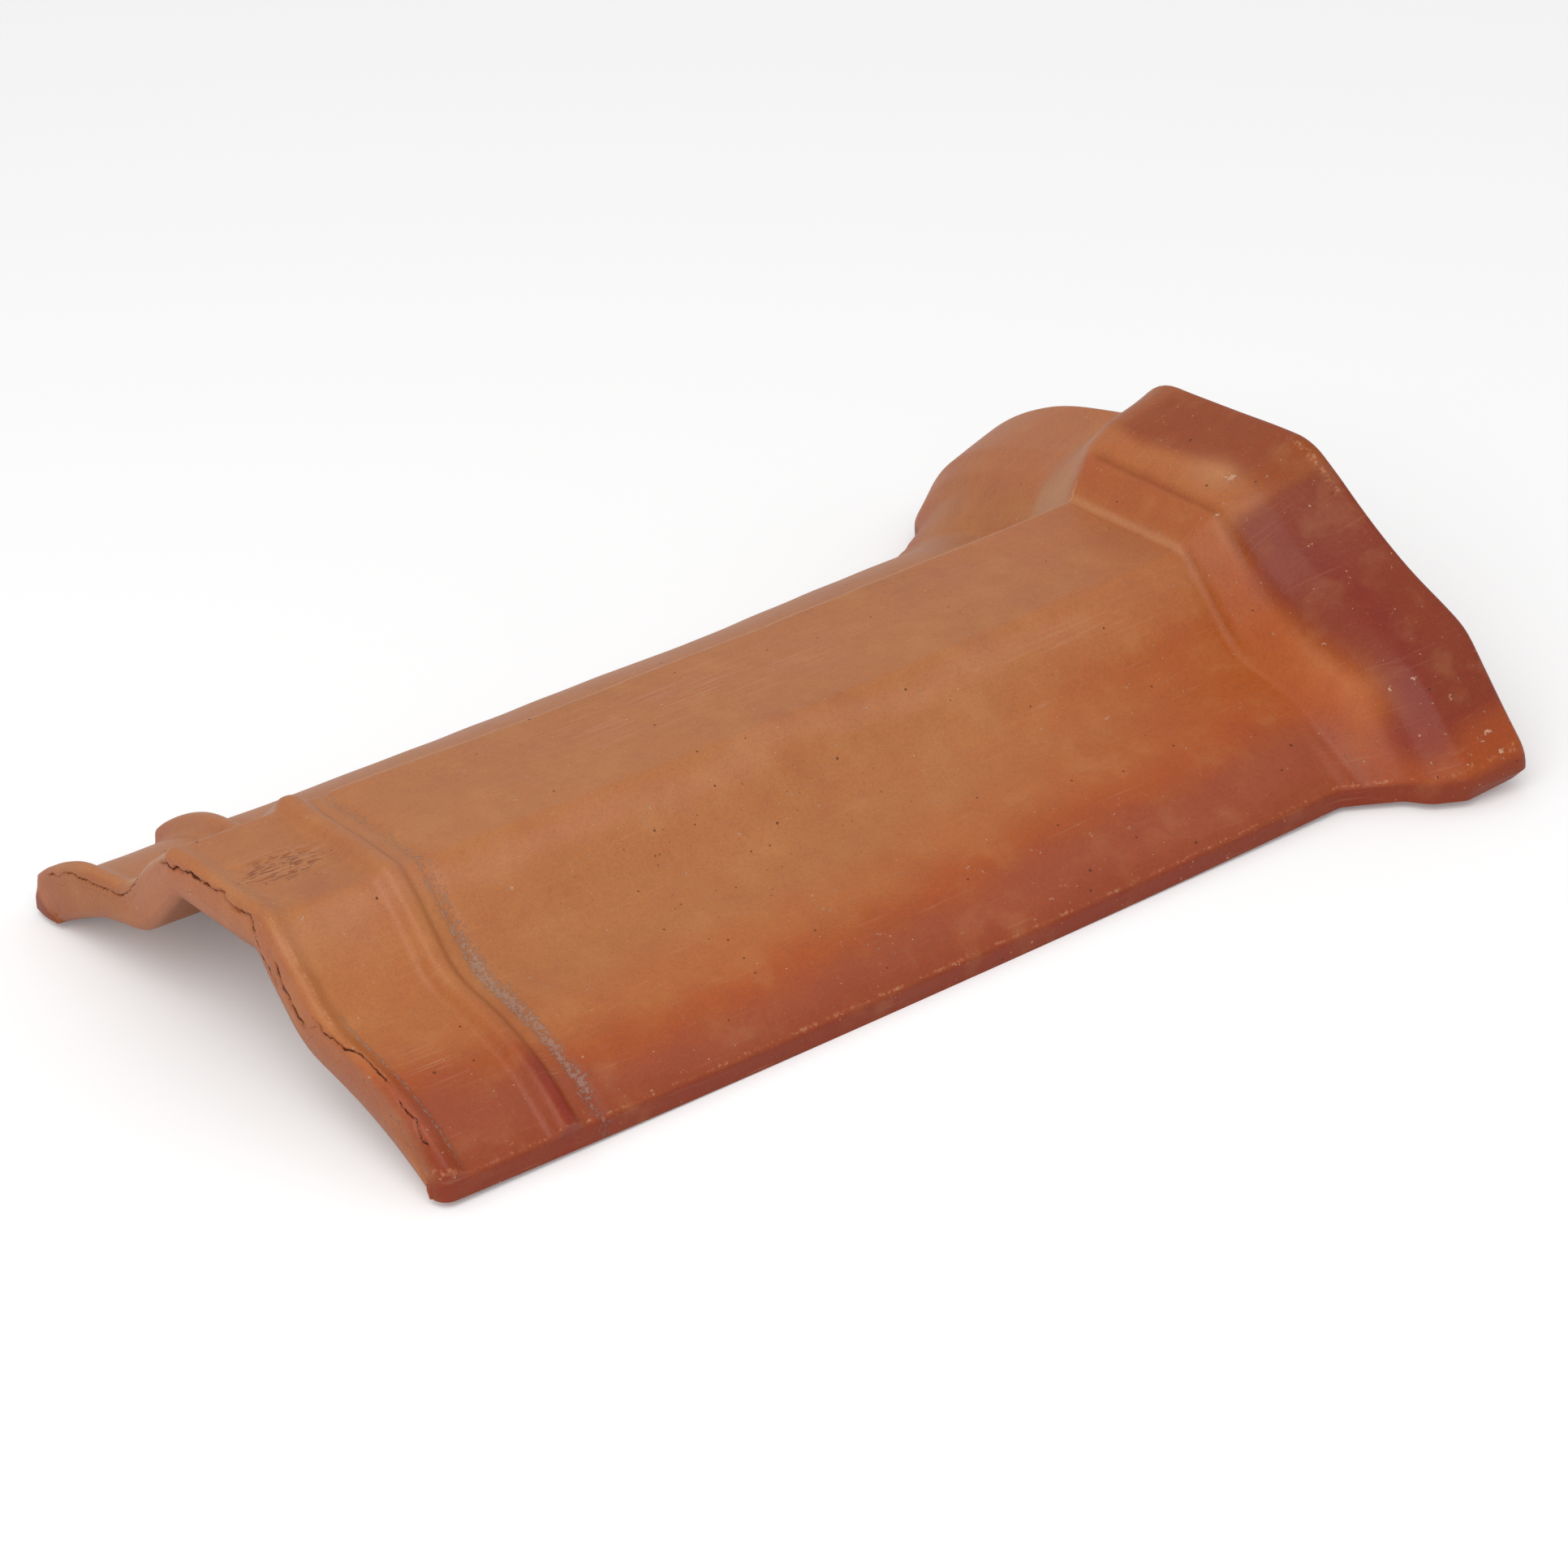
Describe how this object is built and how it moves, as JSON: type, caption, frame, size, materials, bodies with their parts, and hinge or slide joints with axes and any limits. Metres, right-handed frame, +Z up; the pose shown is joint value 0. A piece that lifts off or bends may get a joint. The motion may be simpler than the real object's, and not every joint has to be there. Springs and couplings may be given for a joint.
{
  "type": "clay ridge tile",
  "caption": "Clay ridge tile with a flat crown, drooping wings, a ribbed spigot at one end and a flared collar at the other.",
  "frame": {"origin": "centre of the tile seen from above, on the plane its two long feet stand on", "axes": "+X along the tile from the spigot end to the collar end, +Y across it, +Z up from the feet to the crown"},
  "size_m": [0.409, 0.2812, 0.0867],
  "materials": {
    "clay": "satin"
  },
  "bodies": {
    "root": {"ridge_tile": "clay"}
  },
  "joints": []
}
